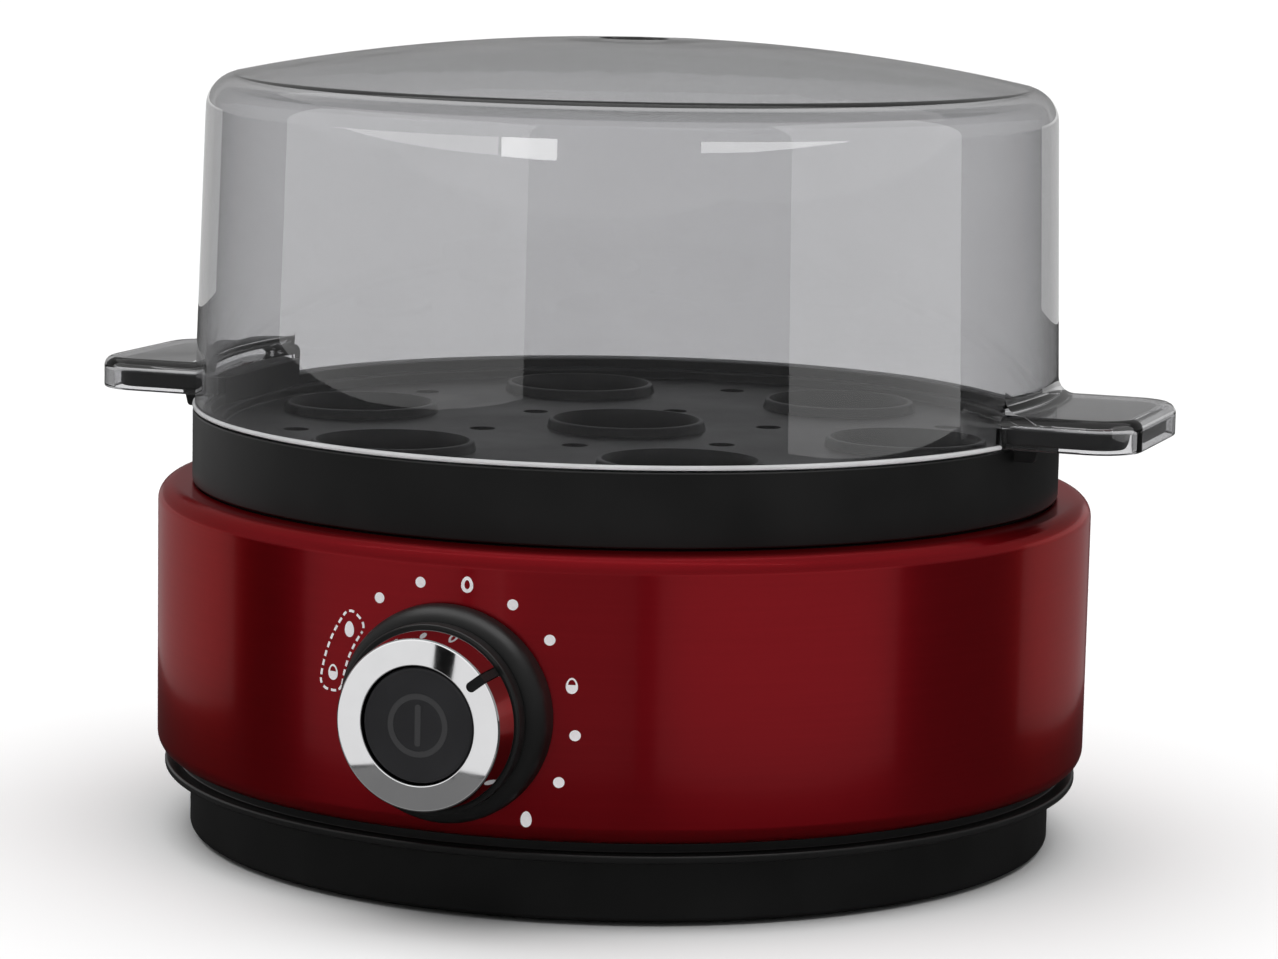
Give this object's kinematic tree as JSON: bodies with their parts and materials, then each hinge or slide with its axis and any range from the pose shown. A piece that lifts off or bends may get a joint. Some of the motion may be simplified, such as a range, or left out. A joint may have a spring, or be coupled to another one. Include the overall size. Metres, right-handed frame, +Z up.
{
  "type": "egg cooker",
  "caption": "Round electric egg cooker with a heated bowl, a lift-out egg tray with side grips, a clear domed lid and a front dial with a push button.",
  "frame": {"origin": "centre of the whole object's footprint box, at the level of the rubber feet", "axes": "+X to the right along the two lid handles, -Y towards the knob at the front, +Z up"},
  "size_m": [0.217, 0.1994, 0.1584],
  "materials": {
    "red_lacquer": "metallic lacquer over fine horizontal brushing",
    "black_plastic": "satin moulded",
    "clear_plastic": "clear, lightly smoked moulding",
    "chrome": "polished plating",
    "button_plastic": "fine satin, smoked",
    "bowl_steel": "turned stainless steel",
    "silicone": "matte",
    "aluminium": "rolled",
    "steel": "zinc plated",
    "component": "moulded",
    "nylon": "natural nylon",
    "board": "solder mask",
    "rubber": "matte",
    "wire": "silicone insulation"
  },
  "bodies": {
    "base": {"housing_shell": "red_lacquer", "inner_frame": "black_plastic", "base_plate": "black_plastic", "cord_reel": "black_plastic", "knob_bezel": "black_plastic", "heating_bowl": "bowl_steel", "bowl_seal": "silicone", "heat_spreader": "aluminium", "heat_shield": "aluminium", "inductor": "aluminium", "heating_element": "steel", "thermostat": "component", "thermostat_bracket": "steel", "thermal_fuse": "nylon", "fuse_clip": "steel", "power_board": "board", "control_board": "board", "relay": "component", "film_capacitor": "nylon", "buzzer": "component", "terminal_block": "nylon", "dial_potentiometer": "component", "push_switch": "component", "button_guide": "nylon", "cord_gland": "rubber", "cord_clamp": "nylon", "heater_lead_1": "wire", "heater_lead_2": "wire", "button_spring": "steel", "rubber_foot_1": "rubber", "board_screw_1": "steel", "rubber_foot_2": "rubber", "board_screw_2": "steel", "rubber_foot_3": "rubber", "board_screw_3": "steel", "rubber_foot_4": "rubber", "board_screw_4": "steel", "shell_screw_1": "steel", "shield_screw_1": "steel", "shell_screw_2": "steel", "shield_screw_2": "steel", "shell_screw_3": "steel", "shield_screw_3": "steel", "reel_screw_1": "steel", "clamp_screw_1": "steel", "bracket_screw_1": "steel", "reel_screw_2": "steel", "clamp_screw_2": "steel", "bracket_screw_2": "steel"},
    "egg_tray": {"egg_tray": "black_plastic"},
    "lid": {"lid": "clear_plastic"},
    "knob": {"knob_ring": "chrome", "knob_body": "black_plastic", "knob_pointer": "black_plastic", "retaining_ring": "steel"},
    "button": {"button_cap": "button_plastic", "light_guide": "clear_plastic"}
  },
  "joints": [
    {"name": "tray_lift", "type": "slide", "parent": "base", "child": "egg_tray", "axis": [0, 0, 1], "range_m": [0, 0.09]},
    {"name": "lid_lift", "type": "slide", "parent": "egg_tray", "child": "lid", "axis": [0, 0, 1], "range_m": [0, 0.09]},
    {"name": "knob_turn", "type": "hinge", "parent": "base", "child": "knob", "pos_m": [0, -0.0933, 0.0396], "axis": [0, 1, 0], "range_deg": [-130.4, 87.7]},
    {"name": "button_press", "type": "slide", "parent": "base", "child": "button", "axis": [0, 1, 0], "range_m": [0, 0.0012], "stiffness_N_per_m": 600, "springref_m": -0.001, "deforming": ["button_spring"]}
  ]
}
